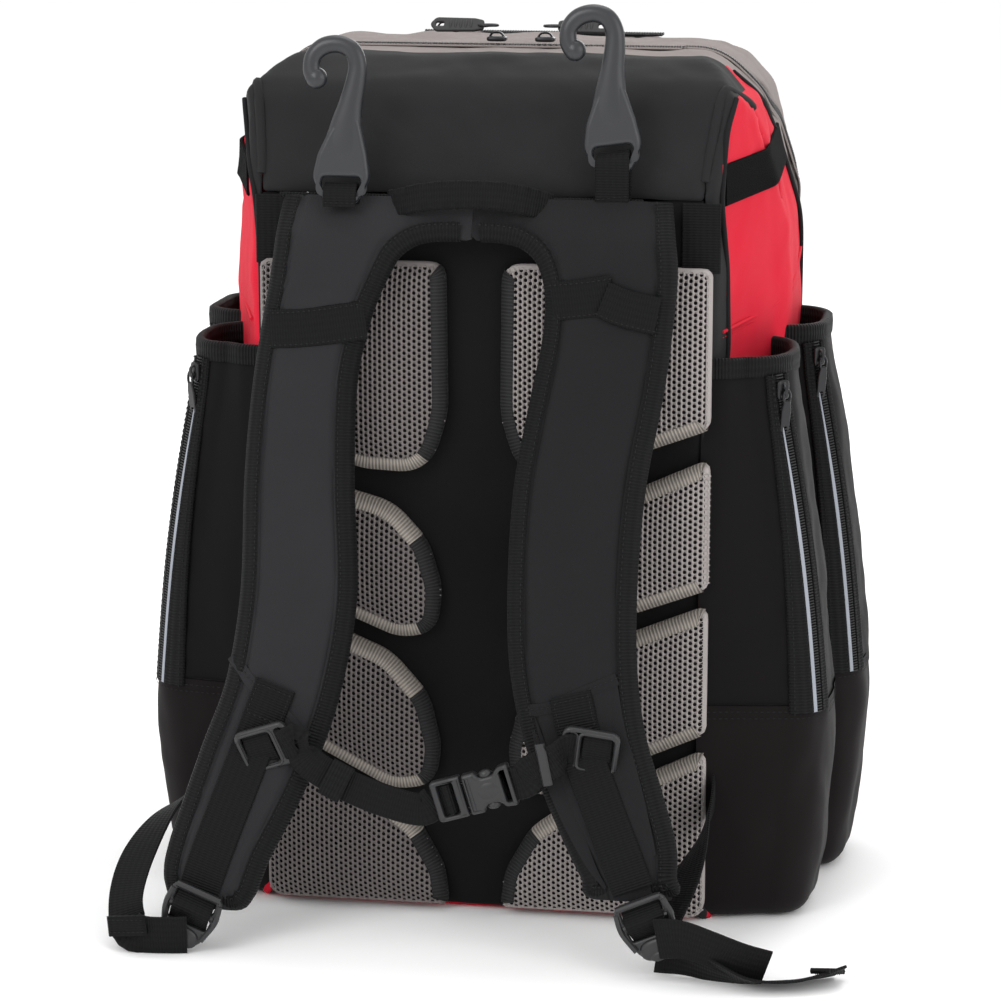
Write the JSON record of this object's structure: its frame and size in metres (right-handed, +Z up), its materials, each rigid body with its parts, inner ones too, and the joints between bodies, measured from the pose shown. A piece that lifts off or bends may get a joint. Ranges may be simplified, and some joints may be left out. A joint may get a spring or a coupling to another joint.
{
  "type": "sports equipment backpack",
  "caption": "Upright equipment backpack with padded shoulder straps, mesh back pads, fence hooks, stretch bat sleeves and an opening front cover.",
  "frame": {"origin": "middle of the flat base, at ground level", "axes": "+Z up; -Y towards the wearer's back and the straps; +Y out of the opening cover; +X to the right when looking at the straps"},
  "size_m": [0.4601, 0.3755, 0.5566],
  "materials": {
    "back_fabric": "matt black woven polyester",
    "stiffener": "thin black plastic sheet",
    "spacer_mesh": "warm grey spacer mesh with dark pores",
    "top_fabric": "matt charcoal stretch fabric",
    "red_fabric": "bright red woven polyester",
    "neoprene": "smooth black neoprene",
    "neoprene_cup": "smooth warm black neoprene",
    "zip": "black nylon coil",
    "loop_tape": "black loop pile",
    "strap_fabric": "matt charcoal microfibre over foam",
    "webbing": "black ribbed webbing",
    "grey_fabric": "warm grey woven polyester",
    "cover_fabric": "black woven polyester",
    "zip_metal": "black lacquered zinc",
    "pull_rubber": "moulded matt pull",
    "hook_plastic": "satin slate plastic",
    "buckle_plastic": "satin black acetal"
  },
  "bodies": {
    "root": {"back_panel": "back_fabric", "frame_sheet": "stiffener", "back_pad_left_1": "spacer_mesh", "back_pad_left_2": "spacer_mesh", "back_pad_left_3": "spacer_mesh", "back_pad_left_4": "spacer_mesh", "back_pad_right_1": "spacer_mesh", "back_pad_right_2": "spacer_mesh", "back_pad_right_3": "spacer_mesh", "back_pad_right_4": "spacer_mesh", "top_panel": "top_fabric", "side_panel_left": "red_fabric", "side_panel_right": "red_fabric", "base_panel": "red_fabric", "lower_front_panel": "red_fabric", "bat_sleeve_rear_left": "neoprene", "bat_sleeve_front_left": "neoprene", "bat_sleeve_rear_right": "neoprene", "bat_sleeve_front_right": "neoprene", "bat_cup_rear_left": "neoprene_cup", "bat_cup_front_left": "neoprene_cup", "bat_cup_rear_right": "neoprene_cup", "bat_cup_front_right": "neoprene_cup", "sleeve_zips": "zip", "loop_tapes": "loop_tape", "yoke": "strap_fabric", "haul_loop": "webbing", "main_zip": "zip", "lower_webbing_left": "webbing", "lower_webbing_right": "webbing"},
    "cover": {"cover_gusset": "grey_fabric", "cover_front": "cover_fabric", "front_pocket": "grey_fabric", "pocket_zip": "zip"},
    "main_slider_left": {"main_slider_left": "zip_metal"},
    "main_pull_left": {"main_pull_left": "pull_rubber"},
    "main_slider_right": {"main_slider_right": "zip_metal"},
    "main_pull_right": {"main_pull_right": "pull_rubber"},
    "sleeve_slider_rear_left": {"sleeve_slider_rear_left": "zip_metal"},
    "sleeve_slider_front_left": {"sleeve_slider_front_left": "zip_metal"},
    "sleeve_slider_rear_right": {"sleeve_slider_rear_right": "zip_metal"},
    "sleeve_slider_front_right": {"sleeve_slider_front_right": "zip_metal"},
    "hook_left": {"hook_left": "hook_plastic", "hook_webbing_left": "webbing"},
    "hook_right": {"hook_right": "hook_plastic", "hook_webbing_right": "webbing"},
    "strap_left": {"strap_pad_left": "strap_fabric", "strap_webbing_left": "webbing", "sternum_slider_left": "buckle_plastic", "sternum_webbing_left": "webbing"},
    "strap_right": {"strap_pad_right": "strap_fabric", "strap_webbing_right": "webbing", "sternum_slider_right": "buckle_plastic", "sternum_webbing_right": "webbing", "buckle_female": "buckle_plastic"},
    "buckle_male": {"buckle_male": "buckle_plastic"},
    "ladder_lock_left": {"ladder_lock_left": "buckle_plastic"},
    "ladder_lock_right": {"ladder_lock_right": "buckle_plastic"}
  },
  "joints": [
    {"name": "cover_hinge", "type": "hinge", "parent": "root", "child": "cover", "pos_m": [0, 0.112, 0.19], "axis": [-1, 0, 0], "range_deg": [0, 95]},
    {"name": "main_slider_left_slide", "type": "slide", "parent": "root", "child": "main_slider_left", "axis": [-1, 0, 0], "range_m": [0, 0.078]},
    {"name": "main_pull_left_tilt", "type": "hinge", "parent": "main_slider_left", "child": "main_pull_left", "pos_m": [-0.011, -0.0025, 0.52925], "axis": [0, 1, 0], "range_deg": [0, 150]},
    {"name": "main_slider_right_slide", "type": "slide", "parent": "root", "child": "main_slider_right", "axis": [1, 0, 0], "range_m": [0, 0.07]},
    {"name": "main_pull_right_tilt", "type": "hinge", "parent": "main_slider_right", "child": "main_pull_right", "pos_m": [0.023, -0.0025, 0.52925], "axis": [0, -1, 0], "range_deg": [0, 150]},
    {"name": "sleeve_slider_rear_left_slide", "type": "slide", "parent": "root", "child": "sleeve_slider_rear_left", "axis": [-0.1269, -0.0235, -0.9916], "range_m": [0, 0.17]},
    {"name": "sleeve_slider_front_left_slide", "type": "slide", "parent": "root", "child": "sleeve_slider_front_left", "axis": [-0.1291, -0.0138, -0.9915], "range_m": [0, 0.17]},
    {"name": "sleeve_slider_rear_right_slide", "type": "slide", "parent": "root", "child": "sleeve_slider_rear_right", "axis": [0.1269, -0.0235, -0.9916], "range_m": [0, 0.17]},
    {"name": "sleeve_slider_front_right_slide", "type": "slide", "parent": "root", "child": "sleeve_slider_front_right", "axis": [0.1291, -0.0138, -0.9915], "range_m": [0, 0.17]},
    {"name": "hook_left_tilt", "type": "hinge", "parent": "root", "child": "hook_left", "pos_m": [-0.079, -0.1382, 0.4366], "axis": [1, 0, 0], "range_deg": [0, 100]},
    {"name": "hook_right_tilt", "type": "hinge", "parent": "root", "child": "hook_right", "pos_m": [0.08, -0.1262, 0.4414], "axis": [1, 0, 0], "range_deg": [0, 100]},
    {"name": "strap_left_lift", "type": "hinge", "parent": "root", "child": "strap_left", "pos_m": [0, -0.143, 0.4], "axis": [-1, 0, 0], "range_deg": [0, 25], "deforming": ["lower_webbing_left"]},
    {"name": "strap_right_lift", "type": "hinge", "parent": "root", "child": "strap_right", "pos_m": [0, -0.143, 0.4], "axis": [-1, 0, 0], "range_deg": [0, 25], "deforming": ["lower_webbing_right"]},
    {"name": "buckle_release", "type": "slide", "parent": "strap_left", "child": "buckle_male", "axis": [-0.9563, 0, -0.2924], "range_m": [0, 0.022], "deforming": ["sternum_webbing_left"]},
    {"name": "ladder_lock_left_tilt", "type": "hinge", "parent": "strap_left", "child": "ladder_lock_left", "pos_m": [-0.15213, -0.213, 0.03605], "axis": [-0.9272, 0, 0.3746], "range_deg": [0, 45]},
    {"name": "ladder_lock_right_tilt", "type": "hinge", "parent": "strap_right", "child": "ladder_lock_right", "pos_m": [0.11071, -0.213, 0.04488], "axis": [-0.9135, 0, -0.4067], "range_deg": [0, 45]}
  ],
  "couplings": [
    {"joint": "strap_right_lift", "follows": "strap_left_lift", "ratio": 1}
  ]
}
